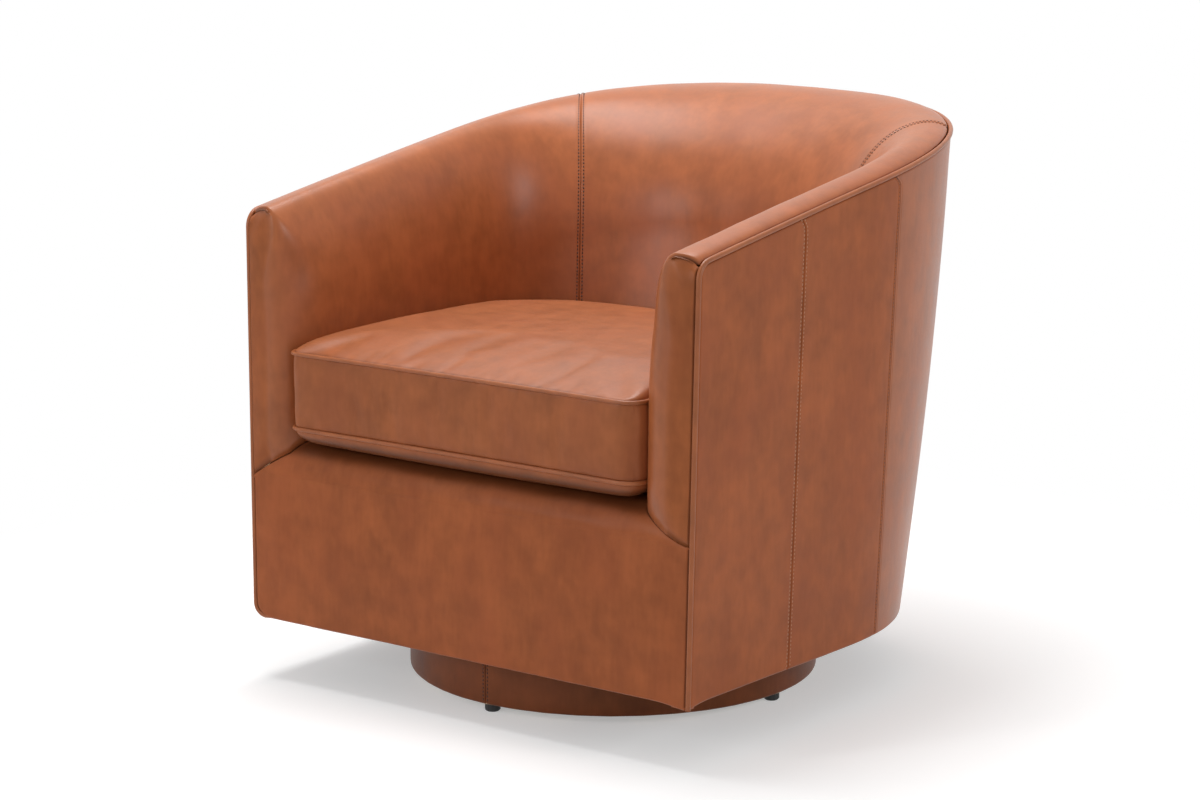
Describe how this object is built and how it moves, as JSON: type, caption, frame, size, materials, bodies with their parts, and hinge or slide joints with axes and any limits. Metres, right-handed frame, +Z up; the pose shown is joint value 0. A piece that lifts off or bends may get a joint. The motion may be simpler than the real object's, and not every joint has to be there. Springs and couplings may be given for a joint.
{
  "type": "swivel barrel chair",
  "caption": "Low round-backed leather armchair: a U-shaped padded shell with sloping arms, a nosed front rail and a loose box cushion, turning on a round wrapped plinth.",
  "frame": {"origin": "on the floor, under the middle of the chair's bounding box. The axis that the shell turns about stands 0.0699 m in front of it, at y -0.0699", "axes": "+Z up, -Y the way the sitter faces, +X to the right of someone who looks at the chair from the front"},
  "size_m": [0.7608, 0.818, 0.766],
  "materials": {
    "cognac_leather": "satin, lightly mottled",
    "piping_leather": "satin",
    "plywood": "raw",
    "foam": "matte",
    "backing_board": "matte",
    "black_cambric": "matte",
    "zinc_plated_steel": "zinc plated",
    "black_nylon": "matte"
  },
  "bodies": {
    "base": {"plinth_hoop": "plywood", "plinth_board": "plywood", "plinth_cover": "cognac_leather", "glide_front": "black_nylon", "glide_right": "black_nylon", "glide_back": "black_nylon", "glide_left": "black_nylon", "swivel_lower_plate": "zinc_plated_steel", "base_screw_1": "zinc_plated_steel", "base_screw_2": "zinc_plated_steel", "base_screw_3": "zinc_plated_steel", "base_screw_4": "zinc_plated_steel"},
    "bearing_cage": {"ball_cage": "zinc_plated_steel"},
    "seat_shell": {"swivel_upper_plate": "zinc_plated_steel", "swivel_board": "plywood", "seat_screw_1": "zinc_plated_steel", "seat_screw_2": "zinc_plated_steel", "seat_screw_3": "zinc_plated_steel", "seat_screw_4": "zinc_plated_steel", "bottom_ring": "plywood", "seat_ring": "plywood", "front_rail": "plywood", "front_post_right": "plywood", "front_post_left": "plywood", "rear_post_right": "plywood", "rear_post_left": "plywood", "arm_rail_right": "plywood", "arm_rail_left": "plywood", "back_rail": "plywood", "spring_1": "zinc_plated_steel", "spring_2": "zinc_plated_steel", "spring_3": "zinc_plated_steel", "spring_4": "zinc_plated_steel", "deck_pad": "foam", "deck_cover": "black_cambric", "front_pad": "foam", "outer_backing": "backing_board", "inner_pad_right": "foam", "inner_pad_back": "foam", "inner_pad_left": "foam", "inner_cover_right": "cognac_leather", "inner_cover_back": "cognac_leather", "inner_cover_left": "cognac_leather", "arm_facing_right": "cognac_leather", "arm_facing_left": "cognac_leather", "front_cover": "cognac_leather", "outer_cover_right_front": "cognac_leather", "outer_cover_right": "cognac_leather", "outer_cover_back": "cognac_leather", "outer_cover_left": "cognac_leather", "outer_cover_left_front": "cognac_leather", "body_welt": "piping_leather", "dust_cover": "black_cambric"},
    "seat_cushion": {"cushion_core": "foam", "cushion_top_panel": "cognac_leather", "cushion_boxing": "cognac_leather", "cushion_zip_panel": "cognac_leather", "cushion_bottom_panel": "cognac_leather", "cushion_top_welt": "piping_leather", "cushion_low_welt": "piping_leather"}
  },
  "joints": [
    {"name": "shell_swivel", "type": "hinge", "parent": "base", "child": "seat_shell", "pos_m": [0, -0.0699, 0.0897], "axis": [0, 0, 1], "continuous": true},
    {"name": "cage_roll", "type": "hinge", "parent": "base", "child": "bearing_cage", "pos_m": [0, -0.0699, 0.0897], "axis": [0, 0, 1], "continuous": true},
    {"name": "cushion_lift", "type": "slide", "parent": "seat_shell", "child": "seat_cushion", "axis": [0, 0, 1], "range_m": [0, 0.45]}
  ],
  "couplings": [
    {"joint": "cage_roll", "follows": "shell_swivel", "ratio": 0.5}
  ]
}
